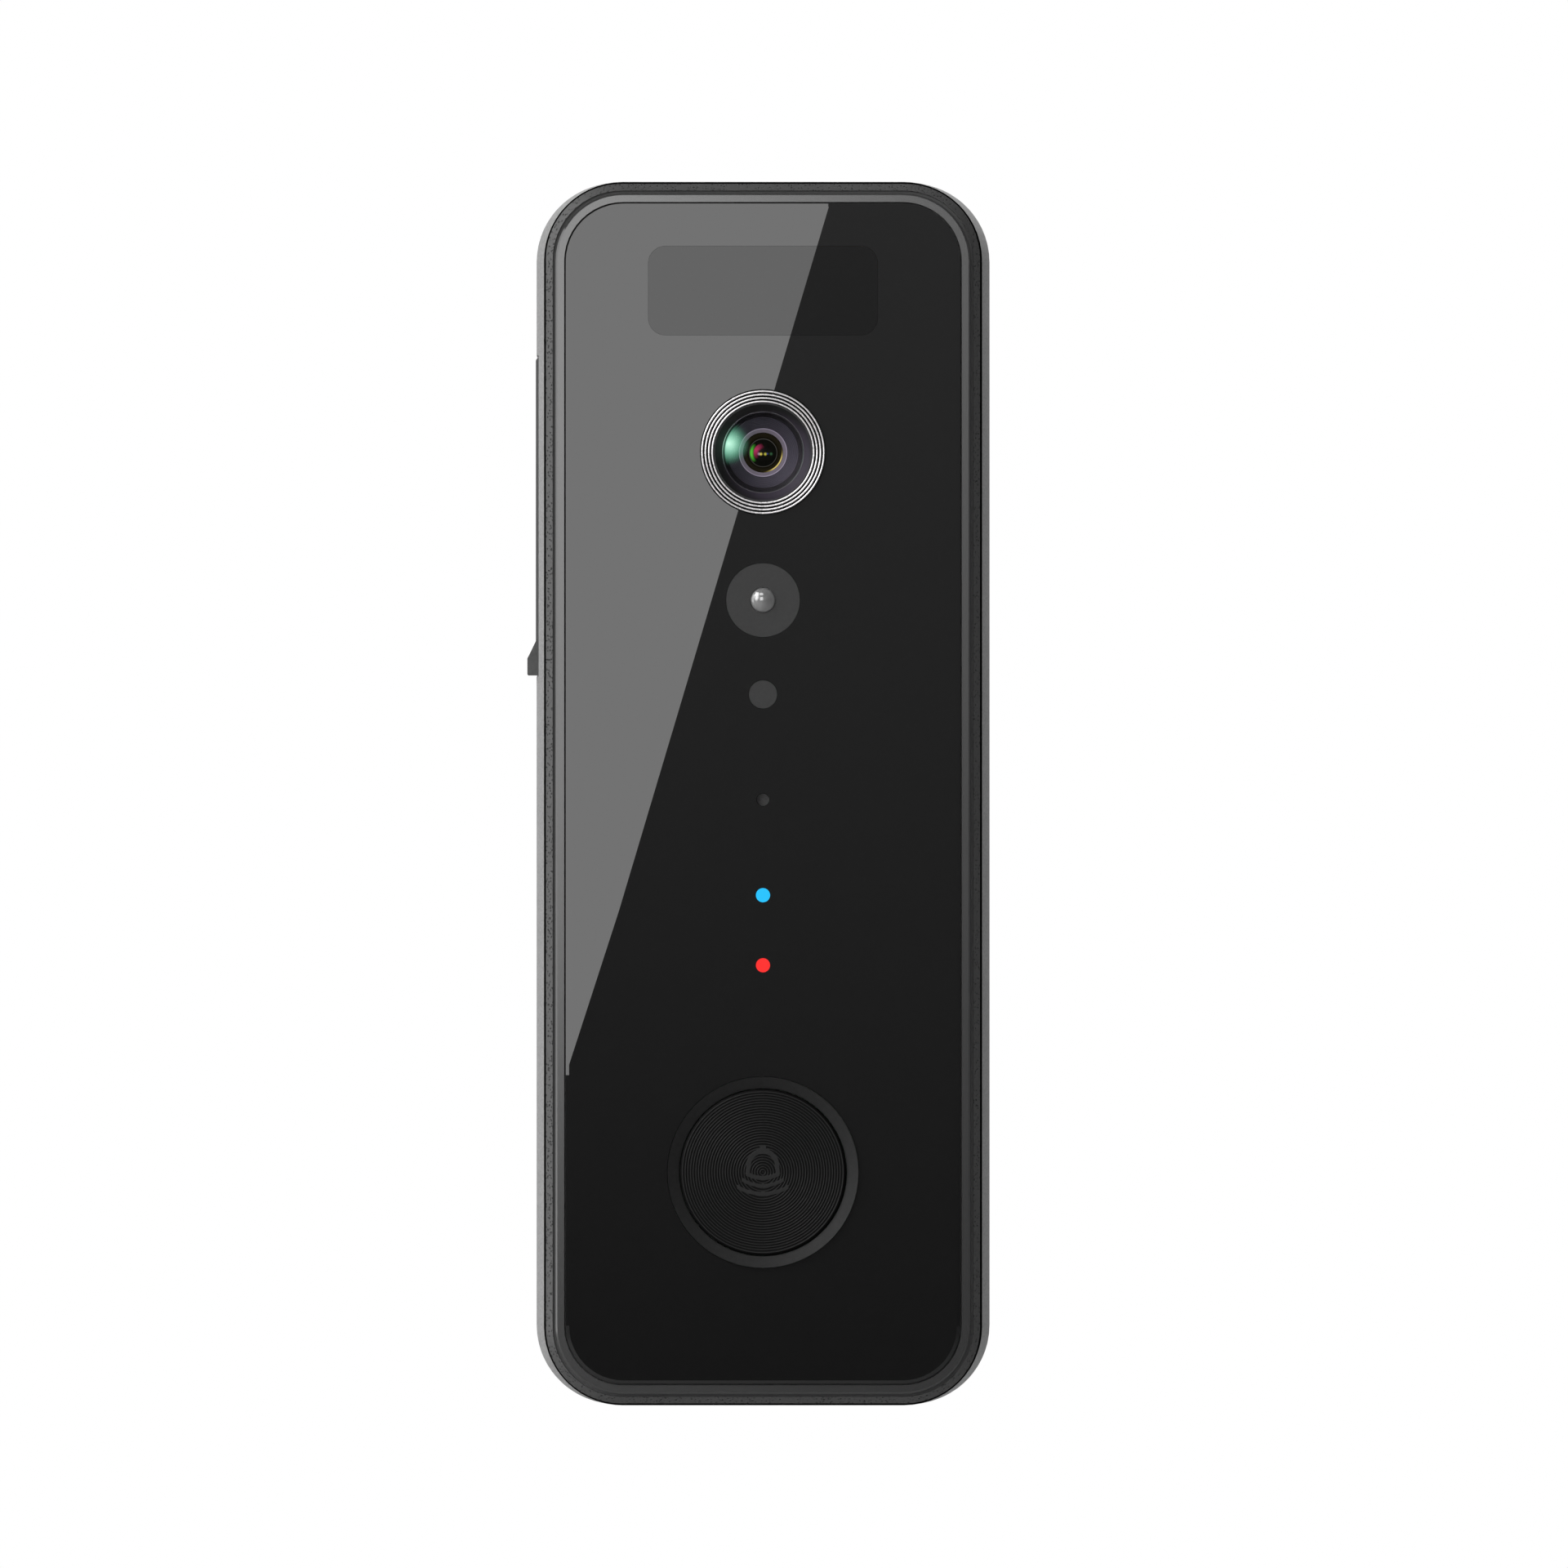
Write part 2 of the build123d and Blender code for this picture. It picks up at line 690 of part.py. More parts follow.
# Speaker that fires down through the slots in the bottom wall
with BuildPart() as speaker:
    with BuildSketch(Plane.XY.offset(-66.9)):
        with Locations((0, -16)):
            RectangleRounded(28, 10.4, 2)
    extrude(amount=5.0)
    with BuildSketch(Plane.XY.offset(-66.9)):
        with Locations((0, -16)):
            RectangleRounded(25, 8.4, 1.6)
    extrude(amount=1.6, mode=Mode.SUBTRACT)
with BuildPart() as speaker_cone:
    with BuildSketch(Plane.XY.offset(-66.2)):
        with Locations((0, -16)):
            RectangleRounded(24.9, 8.3, 1.5)
    extrude(amount=0.4)
    fillet(speaker_cone.faces().sort_by(Axis.Z)[0].edges(), 0.2)
with BuildPart() as speaker_mesh:
    with BuildSketch(Plane.XY.offset(-67.5)):
        with Locations((0, -16)):
            RectangleRounded(27, 9.8, 1.5)
    extrude(amount=0.4)

# Ribbon cable from the main board, over the top of the sensor board
with BuildPart() as flex_cable:
    with BuildLine(Plane.YZ.offset(11.0)) as route:
        FilletPolyline((-10.4, 52.5), (-10.4, 65.2), (-25.0, 65.2), (-25.0, 60.0), radius=1.0)
    with BuildSketch(Plane(origin=route.line @ 0, z_dir=route.line % 0, x_dir=(1, 0, 0))):
        Rectangle(9.0, 0.2)
    sweep()

# Wires from the batteries and the speaker to the main board
with BuildPart() as wires:
    for x, start_z, depth in ((21.6, -50.6, 19.6), (21.6, -56.4, 21.2), (-21.6, -56.4, 21.2)):
        with BuildLine() as run:
            FilletPolyline(
                (x * 0.75, -depth, start_z),
                (x, -depth, start_z),
                (x, -depth, 26.0),
                (x * 0.8, -depth, 26.0),
                radius=2.0,
            )
        with BuildSketch(Plane(origin=run.line @ 0, z_dir=run.line % 0)):
            Circle(0.5)
        sweep()

# Wall bracket with two hooks, a bottom lip and four countersunk screw holes
with BuildPart() as mounting_bracket:
    with BuildSketch(facing(0)):
        with Locations((0, (bracket_low + bracket_high) / 2)):
            RectangleRounded(bracket_width, bracket_high - bracket_low, 6)
        with Locations((0, -60)):
            Rectangle(14, 15.6)
        RectangleRounded(18, 40, 3, mode=Mode.SUBTRACT)
    extrude(amount=plate_depth)
    with BuildSketch(facing(plate_depth)):
        with Locations((0, -67.0)):
            Rectangle(14, 1.6)
    extrude(amount=6.6)
    with BuildSketch(facing(plate_depth)):
        with Locations((-hook_x, hook_z), (hook_x, hook_z)):
            Rectangle(3.8, 4.0)
    extrude(amount=2.3)
    with BuildSketch(facing(4.1)):
        with Locations((-hook_x, hook_z), (hook_x, hook_z)):
            Rectangle(7.6, 5.6)
    extrude(amount=1.3)
    with BuildSketch(Plane.XY.offset(-68.0)):
        with Locations((0, -security_depth)):
            Circle(1.45)
    extrude(amount=2.0, mode=Mode.SUBTRACT)
    with Locations(Plane(origin=(0, -plate_depth, 0), z_dir=(0, -1, 0), x_dir=(1, 0, 0))):
        with GridLocations(screw_spacing_x, screw_spacing_z, 2, 2):
            CounterSinkHole(screw_hole_radius, 3.1)

# Security screw, from below through the bracket's lip into the insert
with BuildPart() as security_screw:
    with BuildSketch(Plane.XY.offset(-69.6)):
        with Locations((0, -security_depth)):
            Circle(2.3)
            RegularPolygon(0.9, 6, mode=Mode.SUBTRACT)
    extrude(amount=1.2)
    with BuildSketch(Plane.XY.offset(-68.4)):
        with Locations((0, -security_depth)):
            Circle(2.3)
    extrude(amount=0.55)
    with BuildSketch(Plane.XY.offset(-67.85)):
        with Locations((0, -security_depth)):
            Circle(1.2)
    extrude(amount=6.0)

pieces = {
    "rear_housing": rear_housing,
    "threaded_insert": threaded_insert,
    "housing_seal": housing_seal,
    "front_frame": front_frame,
    "bezel_ring": bezel_ring,
    "front_panel": front_panel,
    "ir_window": ir_window,
    "lens_trim_ring": lens_trim_ring,
    "lens_hood": lens_hood,
    "front_lens_element": front_lens_element,
    "lens_barrel": lens_barrel,
    "lens_retainer_ring": lens_retainer_ring,
    "inner_lens_element": inner_lens_element,
    "rear_lens_element": rear_lens_element,
    "lens_holder": lens_holder,
    "ir_cut_filter": ir_cut_filter,
    "image_sensor": image_sensor,
    "motion_window": motion_window,
    "motion_lens": motion_lens,
    "motion_sensor": motion_sensor,
    "light_sensor_window": light_sensor_window,
    "light_sensor": light_sensor,
    "blue_light_pipe": blue_light_pipe,
    "red_light_pipe": red_light_pipe,
    "status_leds": status_leds,
    "infrared_leds": infrared_leds,
    "microphone": microphone,
    "microphone_gasket": microphone_gasket,
    "button_ring": button_ring,
    "button_cap": button_cap,
    "button_return_pad": button_return_pad,
    "switch_plunger": switch_plunger,
    "tact_switch": tact_switch,
    "sensor_board": sensor_board,
    "mid_frame": mid_frame,
    "main_board": main_board,
    "main_board_chips": main_board_chips,
    "shield_can": shield_can,
    "wifi_module": wifi_module,
    "wifi_antenna": wifi_antenna,
    "usb_port": usb_port,
    "memory_card_socket": memory_card_socket,
    "reset_switch": reset_switch,
    "reset_button": reset_button,
    "port_flap": port_flap,
    "battery_cells": battery_cells,
    "battery_contacts": battery_contacts,
    "battery_springs": battery_springs,
    "battery_door": battery_door,
    "battery_door_seal": battery_door_seal,
    "battery_door_screws": battery_door_screws,
    "housing_screws": housing_screws,
    "board_screws": board_screws,
    "speaker": speaker,
    "speaker_cone": speaker_cone,
    "speaker_mesh": speaker_mesh,
    "flex_cable": flex_cable,
    "wires": wires,
    "mounting_bracket": mounting_bracket,
    "security_screw": security_screw,
}

os.makedirs("parts", exist_ok=True)
for name, piece in pieces.items():
    piece.part.label = name
    export_step(piece.part, f"parts/{name}.step")
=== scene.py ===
"""Video doorbell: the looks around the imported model. Metres, +Z up, the front faces -Y."""

import json
import math

import bpy
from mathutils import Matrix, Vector


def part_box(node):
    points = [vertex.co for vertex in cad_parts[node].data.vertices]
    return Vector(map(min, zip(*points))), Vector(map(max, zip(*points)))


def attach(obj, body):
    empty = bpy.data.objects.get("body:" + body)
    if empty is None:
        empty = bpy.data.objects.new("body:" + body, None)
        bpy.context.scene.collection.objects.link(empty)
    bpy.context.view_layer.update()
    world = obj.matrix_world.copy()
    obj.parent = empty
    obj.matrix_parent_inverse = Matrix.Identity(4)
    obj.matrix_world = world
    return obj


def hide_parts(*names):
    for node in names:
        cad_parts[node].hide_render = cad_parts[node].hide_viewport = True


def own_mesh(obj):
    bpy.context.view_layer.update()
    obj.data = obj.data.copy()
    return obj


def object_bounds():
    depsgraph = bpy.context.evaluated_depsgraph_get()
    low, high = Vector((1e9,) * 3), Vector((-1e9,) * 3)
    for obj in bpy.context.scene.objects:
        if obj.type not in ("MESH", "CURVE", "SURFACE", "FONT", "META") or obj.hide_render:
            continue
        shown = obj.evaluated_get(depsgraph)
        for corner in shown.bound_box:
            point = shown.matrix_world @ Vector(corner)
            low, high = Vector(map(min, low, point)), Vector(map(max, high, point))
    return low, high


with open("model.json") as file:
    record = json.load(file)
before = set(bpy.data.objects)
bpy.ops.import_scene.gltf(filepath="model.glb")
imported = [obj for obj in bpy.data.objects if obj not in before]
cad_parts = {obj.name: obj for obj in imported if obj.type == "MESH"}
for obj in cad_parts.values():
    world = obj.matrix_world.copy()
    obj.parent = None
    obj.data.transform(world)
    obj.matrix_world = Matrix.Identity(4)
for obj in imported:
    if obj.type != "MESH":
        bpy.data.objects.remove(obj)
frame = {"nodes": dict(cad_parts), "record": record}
cad_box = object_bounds()
NODES = frame["nodes"]
NODE_SLOT = {entry["node"]: entry["material_slot"] for entry in frame["record"]["subparts"]}
NODE_BODY = {
    node: body for body, members in frame["record"]["behaviour"]["bodies"].items() for node in members
}
MM = 0.001

# Strength of the soft box that the glass mirrors, of the wall behind it (bottom, top), and of the
# surroundings (below, above)
SOFT_BOX = 4.1
DIM_WALL = (0.10, 0.42)
WORLD = (0.12, 0.32)

# Camera: distance to the glass, place across and up, and the height that the picture spans there
CAMERA_DISTANCE = 3.0
CAMERA_X = 0.0024
CAMERA_Z = 0.0011
PICTURE_HEIGHT = 0.17908

# Floor: half its width, its drop below the object, and how bright it looks to the eye
FLOOR_HALF = 3.0
FLOOR_DROP = 0.12
FLOOR_GLOW = 0.8

# Lens parts, in millimetres: radii, and the height of the trim ring's ridges
TRIM_INNER = 5.64
TRIM_RIDGES = (6.96, 6.57, 6.18, 5.79)
RIDGE_HEIGHT = 0.11
FRONT_LENS = 4.5
MOTION_LENS = 1.44


# --- Node helpers -----------------------------------------------------------------------------

def new_material(name):
    """An empty node material and its Principled shader."""
    material = bpy.data.materials.new(name)
    material.use_nodes = True
    return material, material.node_tree.nodes["Principled BSDF"]


def add(material, kind, **inputs):
    """A node of this kind with its inputs set; names with spaces are given with underscores."""
    node = material.node_tree.nodes.new(kind)
    for key, value in inputs.items():
        node.inputs[key.replace("_", " ")].default_value = value
    return node


def link(material, source, target):
    material.node_tree.links.new(source, target)


def coordinates(material, scale=1.0):
    """Object coordinates in metres, multiplied by scale."""
    place = add(material, "ShaderNodeTexCoord")
    mapping = add(material, "ShaderNodeMapping")
    mapping.inputs["Scale"].default_value = (scale, scale, scale)
    link(material, place.outputs["Object"], mapping.inputs["Vector"])
    return mapping.outputs["Vector"]


def object_axis(material, axis):
    """One object coordinate, X, Y or Z, in metres."""
    split = add(material, "ShaderNodeSeparateXYZ")
    link(material, add(material, "ShaderNodeTexCoord").outputs["Object"], split.inputs["Vector"])
    return split.outputs[axis]


def noise(material, size, detail=3.0, roughness=0.55):
    """Noise with blobs of about this size in metres, as a value near 0.5."""
    node = add(material, "ShaderNodeTexNoise", Scale=1.0 / size, Detail=detail, Roughness=roughness)
    link(material, coordinates(material), node.inputs["Vector"])
    return node.outputs["Fac"]


def remap(material, value, low, high, to_low, to_high):
    """The value mapped from low..high to to_low..to_high, clamped."""
    node = add(material, "ShaderNodeMapRange")
    for key, number in (("From Min", low), ("From Max", high), ("To Min", to_low), ("To Max", to_high)):
        node.inputs[key].default_value = number
    link(material, value, node.inputs["Value"])
    return node.outputs["Result"]


def blend(material, factor, first, second):
    """A colour between two, by factor; each is a colour or a node's output."""
    node = add(material, "ShaderNodeMix")
    node.data_type = "RGBA"
    for socket, colour in ((node.inputs[6], first), (node.inputs[7], second)):
        if isinstance(colour, bpy.types.NodeSocket):
            link(material, colour, socket)
        else:
            socket.default_value = (*colour, 1)
    link(material, factor, node.inputs[0])
    return node.outputs[2]


def product(material, first, second):
    node = add(material, "ShaderNodeMath")
    node.operation = "MULTIPLY"
    link(material, first, node.inputs[0])
    link(material, second, node.inputs[1])
    return node.outputs[0]


def reach(material, centre):
    """Distance from a forward axis through centre, in millimetres."""
    value = add(material, "ShaderNodeTexCoord").outputs["Object"]
    for operation, vector in (("SUBTRACT", centre), ("MULTIPLY", (1 / MM, 0, 1 / MM))):
        node = add(material, "ShaderNodeVectorMath")
        node.operation = operation
        node.inputs[1].default_value = vector
        link(material, value, node.inputs[0])
        value = node.outputs["Vector"]
    length = add(material, "ShaderNodeVectorMath")
    length.operation = "LENGTH"
    link(material, value, length.inputs[0])
    return length.outputs["Value"]


def spot(material, centre, x, z, radius, soft):
    """1 inside a disc beside the centre, 0 outside it, with a soft edge; all in millimetres."""
    place = (centre.x + x * MM, 0, centre.z + z * MM)
    return remap(material, reach(material, place), radius - soft, radius + soft, 1, 0)


def crescent(material, centre, outer, shift, inner, soft):
    """1 in the part of the outer disc that a disc of radius inner, moved by shift, leaves free."""
    outside = remap(material, spot(material, centre, *shift, inner, soft), 0, 1, 1, 0)
    return product(material, spot(material, centre, 0, 0, outer, 0.04), outside)


def bump(material, shader, height, distance, strength=1.0):
    """Surface relief of this distance in metres, from a height of 0 to 1."""
    node = add(material, "ShaderNodeBump", Strength=strength, Distance=distance)
    link(material, height, node.inputs["Height"])
    link(material, node.outputs["Normal"], shader.inputs["Normal"])


def surface(name, dark, light, roughness, size=0.0006, metal=0.0, relief=0.0, specular=0.5, spread=0.05):
    """A moulded or plated surface: colour and roughness vary with a fine noise, with slight relief."""
    material, shader = new_material(name)
    grain = noise(material, size)
    tone = remap(material, grain, 0.3, 0.7, 0, 1)
    link(material, blend(material, tone, dark, light), shader.inputs["Base Color"])
    wide = noise(material, size * 12)
    link(
        material,
        remap(material, wide, 0.3, 0.7, roughness - spread, roughness + spread),
        shader.inputs["Roughness"],
    )
    shader.inputs["Metallic"].default_value = metal
    shader.inputs["Specular IOR Level"].default_value = specular
    if relief:
        bump(material, shader, grain, relief)
    return material


def grey(value):
    return (value, value, value)


# --- Materials --------------------------------------------------------------------------------

def silver_paint():
    """Silver-grey satin paint with fine metal flakes."""
    material, shader = new_material("silver_paint")
    flakes = add(material, "ShaderNodeTexVoronoi", Scale=1 / 0.00028)
    link(material, coordinates(material), flakes.inputs["Vector"])
    tone = remap(material, flakes.outputs["Distance"], 0.0, 0.8, 0, 1)
    link(material, blend(material, tone, grey(0.50), grey(0.30)), shader.inputs["Base Color"])
    grain = noise(material, 0.00025, 4.0)
    link(material, remap(material, grain, 0.3, 0.7, 0.42, 0.60), shader.inputs["Roughness"])
    shader.inputs["Metallic"].default_value = 0.25
    bump(material, shader, grain, 0.00005)
    return material


def grained_black():
    """Black plastic with a leather-like grain of small pits."""
    material, shader = new_material("grained_black")
    cells = add(material, "ShaderNodeTexVoronoi", Scale=1 / 0.00034)
    cells.feature = "SMOOTH_F1"
    cells.inputs["Smoothness"].default_value = 0.35
    link(material, coordinates(material), cells.inputs["Vector"])
    fine = noise(material, 0.00022, 2.0)
    mixed = add(material, "ShaderNodeMath")
    mixed.operation = "MULTIPLY_ADD"
    link(material, fine, mixed.inputs[0])
    mixed.inputs[1].default_value = 0.8
    link(material, cells.outputs["Distance"], mixed.inputs[2])
    height = remap(material, mixed.outputs[0], 0.50, 0.78, 0, 1)
    link(material, blend(material, height, grey(0.012), grey(0.068)), shader.inputs["Base Color"])
    link(material, remap(material, height, 0, 1, 0.75, 0.42), shader.inputs["Roughness"])
    bump(material, shader, height, 0.00010)
    return material


def bezel_black(front):
    """Satin black front ring; its outer flange, set back behind the ring, is dull and darker."""
    material, shader = new_material("bezel_black")
    face = remap(material, object_axis(material, "Y"), front + 0.0003, front + 0.0004, 1, 0)
    grain = noise(material, 0.0005)
    satin = blend(material, grain, grey(0.018), grey(0.022))
    link(material, blend(material, face, grey(0.024), satin), shader.inputs["Base Color"])
    link(material, remap(material, face, 0, 1, 0.55, 0.105), shader.inputs["Roughness"])
    shader.inputs["Specular IOR Level"].default_value = 0.95
    return material


def dark_gloss(name, colour, ior, roughness=0.0015):
    """Polished dark panel: a plain mirror-like surface over near-black, with faint unevenness."""
    material, shader = new_material(name)
    haze = noise(material, 0.004, 3.0)
    tint = blend(material, haze, colour, [c * 1.25 for c in colour])
    link(material, tint, shader.inputs["Base Color"])
    link(material, remap(material, haze, 0.3, 0.7, roughness, roughness * 2), shader.inputs["Roughness"])
    shader.inputs["IOR"].default_value = ior
    return material


def middle(node):
    """Middle of a CAD node's box."""
    low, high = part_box(node)
    return (low + high) / 2


def lens_glass(name, tint, centre=None):
    """Clear lens glass; with a centre it has a painted reflection on the left: a soft mint glow in the
    colour of its coating.
    """
    material, shader = new_material(name)
    clear = add(material, "ShaderNodeBsdfTransparent")
    haze = noise(material, 0.003)
    tone = blend(material, haze, tint, [c * 0.94 for c in tint])
    link(material, tone, clear.inputs["Color"])
    shader.inputs["Base Color"].default_value = (0.004, 0.004, 0.004, 1)
    shader.inputs["Specular IOR Level"].default_value = 0.1
    link(material, remap(material, haze, 0.3, 0.7, 0.05, 0.08), shader.inputs["Roughness"])
    mix = add(material, "ShaderNodeMixShader", Fac=0.02)
    if centre:
        # Painted reflection: a glowing mint patch on the left, standing in for a window mirrored by the
        # coating.
        inside = spot(material, centre, 0, 0, FRONT_LENS - 0.08, 0.12)
        near = product(material, inside, spot(material, centre, -3.95, 1.0, 1.3, 1.3))
        painted_glint = product(material, near, near)
        painted_mint_reflection = blend(material, painted_glint, (0.22, 0.80, 0.50), (0.60, 1.0, 0.80))
        link(material, painted_mint_reflection, shader.inputs["Emission Color"])
        shader.inputs["Emission Strength"].default_value = 1.0
        link(material, remap(material, painted_glint, 0, 1, 0, 0.97), mix.inputs["Fac"])
    link(material, clear.outputs[0], mix.inputs[1])
    link(material, shader.outputs[0], mix.inputs[2])
    link(material, mix.outputs[0], material.node_tree.nodes["Material Output"].inputs["Surface"])
    return material


def barrel_black(centre):
    """Inside of the lens barrel: a black step, a finely grooved purple-grey cone with painted shade
    darkening the groove bottoms, black beyond it.
    """
    material, shader = new_material("barrel_black")
    radius = reach(material, centre)
    wave = add(material, "ShaderNodeMath")
    wave.operation = "PINGPONG"
    wave.inputs[1].default_value = 0.075
    link(material, radius, wave.inputs[0])
    groove = remap(material, wave.outputs[0], 0.0, 0.075, 0, 1)
    # Painted shade: the cone is darker in its groove bottoms.
    cone = blend(material, groove, (0.040, 0.039, 0.048), (0.092, 0.090, 0.106))
    outside = remap(material, radius, 4.02, 4.07, 0, 1)
    inside = remap(material, radius, 2.70, 2.76, 1, 0)
    colour = blend(material, outside, cone, grey(0.004))
    colour = blend(material, inside, colour, grey(0.003))
    link(material, colour, shader.inputs["Base Color"])
    link(material, remap(material, groove, 0, 1, 0.6, 0.45), shader.inputs["Roughness"])
    bump(material, shader, groove, 0.00004)
    return material


def retainer_metal(centre):
    """Pale satin ring with a painted highlight along its outer edge."""
    material, shader = new_material("retainer_metal")
    radius = reach(material, centre)
    grain = noise(material, 0.0003)
    face = blend(material, grain, (0.23, 0.21, 0.23), (0.28, 0.26, 0.28))
    # Painted highlight: the outer edge is lighter.
    edge = remap(material, radius, 2.64, 2.70, 0, 1)
    link(material, blend(material, edge, face, (0.55, 0.52, 0.58)), shader.inputs["Base Color"])
    link(material, remap(material, grain, 0.3, 0.7, 0.4, 0.5), shader.inputs["Roughness"])
    shader.inputs["Metallic"].default_value = 0.2
    return material


def pupil_glass(centre):
    """Deep dark glass of the rear element, with painted coloured reflections of its coatings that glow."""
    material, shader = new_material("pupil_glass")
    base = blend(material, noise(material, 0.0008), (0.003, 0.003, 0.003), (0.006, 0.007, 0.004))
    # Painted reflections: a thin grey ring, green and magenta arcs and small coloured spots.
    ring = product(material, spot(material, centre, 0, 0, 1.64, 0.03), remap(
        material, reach(material, centre), 1.54, 1.59, 0, 1))
    painted_green_arc = product(
        material,
        crescent(material, centre, 1.50, (0.22, 0.0), 1.36, 0.10),
        spot(material, centre, -1.5, 0.0, 0.75, 0.45),
    )
    painted_magenta_arc = product(
        material,
        crescent(material, centre, 1.08, (0.24, -0.26), 0.88, 0.14),
        spot(material, centre, -0.85, 0.35, 0.55, 0.5),
    )
    painted_glints = [
        (ring, (0.08, 0.08, 0.068)),
        (painted_green_arc, (0.10, 0.60, 0.05)),
        (painted_magenta_arc, (0.52, 0.045, 0.13)),
        (spot(material, centre, -0.46, -0.12, 0.10, 0.12), (0.62, 0.42, 0.55)),
        (spot(material, centre, -0.24, -0.14, 0.12, 0.10), (0.90, 0.78, 0.10)),
        (spot(material, centre, 0.26, -0.14, 0.12, 0.10), (0.72, 0.70, 0.07)),
        (spot(material, centre, 0.50, -0.10, 0.05, 0.10), (0.06, 0.10, 0.45)),
        (spot(material, centre, 0.92, -0.12, 0.08, 0.14), (0.06, 0.20, 0.08)),
    ]
    colour = base
    for mask, tint in painted_glints:
        colour = blend(material, mask, colour, tint)
    shader.inputs["Base Color"].default_value = (0.004, 0.004, 0.004, 1)
    # The painted reflections glow through the emission.
    link(material, colour, shader.inputs["Emission Color"])
    shader.inputs["Emission Strength"].default_value = 0.9
    shader.inputs["Roughness"].default_value = 0.25
    shader.inputs["Specular IOR Level"].default_value = 0.05
    return material


def inner_glass(centre):
    """Second lens: clear in the middle, tinted dark olive round it with a faint painted olive glow, and a
    painted golden highlight glowing at the lower right edge.
    """
    material, shader = new_material("inner_glass")
    clear = add(material, "ShaderNodeBsdfTransparent")
    tint = remap(material, reach(material, centre), 1.60, 1.68, 1, 0)
    shade = blend(material, tint, (0.34, 0.34, 0.20), (1.0, 1.0, 1.0))
    link(material, shade, clear.inputs["Color"])
    # Painted highlight: a golden glint glowing along the lower right edge.
    edge = crescent(material, centre, 2.27, (-0.10, 0.07), 2.23, 0.04)
    painted_glint = product(material, edge, spot(material, centre, 1.7, -1.3, 1.4, 0.6))
    colour = blend(material, painted_glint, (0.045, 0.040, 0.022), (0.85, 0.70, 0.20))
    link(material, colour, shader.inputs["Emission Color"])
    shader.inputs["Emission Strength"].default_value = 1.0
    shader.inputs["Base Color"].default_value = (0.02, 0.02, 0.012, 1)
    shader.inputs["Roughness"].default_value = 0.3
    shader.inputs["Specular IOR Level"].default_value = 0.05
    mix = add(material, "ShaderNodeMixShader")
    cover = add(material, "ShaderNodeMath")
    cover.operation = "MAXIMUM"
    # How much shows of the faint painted olive glow round the middle and of the painted golden highlight.
    link(material, remap(material, reach(material, centre), 1.58, 1.90, 0, 0.2), cover.inputs[0])
    link(material, remap(material, painted_glint, 0, 1, 0, 0.9), cover.inputs[1])
    link(material, cover.outputs[0], mix.inputs["Fac"])
    link(material, clear.outputs[0], mix.inputs[1])
    link(material, shader.outputs[0], mix.inputs[2])
    link(material, mix.outputs[0], material.node_tree.nodes["Material Output"].inputs["Surface"])
    return material


def hood_black(centre):
    """Purple-black lens hood with painted shade at the upper left, and a polished lip round the front glass.
    """
    material, shader = new_material("hood_black")
    radius = reach(material, centre)
    grain = noise(material, 0.0005)
    body = blend(material, grain, (0.032, 0.025, 0.039), (0.040, 0.031, 0.049))
    # Painted shade: the upper left of the hood is turned near-black, as if in shadow.
    shade = crescent(material, centre, 6.0, (0.55, -0.45), 4.95, 0.42)
    body = blend(material, shade, body, grey(0.006))
    lip = remap(material, radius, 4.64, 4.68, 1, 0)
    link(material, blend(material, lip, body, grey(0.75)), shader.inputs["Base Color"])
    link(material, lip, shader.inputs["Metallic"])
    link(material, remap(material, lip, 0, 1, 0.42, 0.2), shader.inputs["Roughness"])
    return material


def ridged_chrome(front):
    """Chrome on the tops of the ridges, with painted shade: black between them."""
    material, shader = new_material("ridged_chrome")
    # Painted shade: below the ridge tops the ring is near-black.
    top = remap(material, object_axis(material, "Y"), front + 0.00006, front + 0.00009, 1, 0)
    grain = noise(material, 0.0006)
    bright = blend(material, grain, (0.76, 0.74, 0.75), (0.84, 0.82, 0.83))
    link(material, blend(material, top, grey(0.004), bright), shader.inputs["Base Color"])
    link(material, remap(material, grain, 0.3, 0.7, 0.24, 0.32), shader.inputs["Roughness"])
    link(material, remap(material, top, 0, 1, 1.0, 0.7), shader.inputs["Metallic"])
    return material


def smoky_dome():
    """Motion sensor lens: smoky polished plastic."""
    material, shader = new_material("smoky_dome")
    grain = noise(material, 0.0009)
    link(material, blend(material, grain, grey(0.20), grey(0.30)), shader.inputs["Base Color"])
    link(material, remap(material, grain, 0.3, 0.7, 0.10, 0.16), shader.inputs["Roughness"])
    shader.inputs["IOR"].default_value = 1.7
    shader.inputs["Metallic"].default_value = 0.25
    shader.inputs["Coat Weight"].default_value = 0.5
    shader.inputs["Coat Roughness"].default_value = 0.05
    return material


def lit_pipe(name, colour, strength):
    """Indicator light: a saturated glowing colour whose brightness varies slightly at random."""
    material, shader = new_material(name)
    tone = noise(material, 0.0004)
    glow = blend(material, tone, colour, [min(1.0, c * 1.15 + 0.01) for c in colour])
    shader.inputs["Base Color"].default_value = (0.01, 0.01, 0.01, 1)
    link(material, glow, shader.inputs["Emission Color"])
    shader.inputs["Emission Strength"].default_value = strength
    shader.inputs["Roughness"].default_value = 0.35
    shader.inputs["Specular IOR Level"].default_value = 0.05
    return material


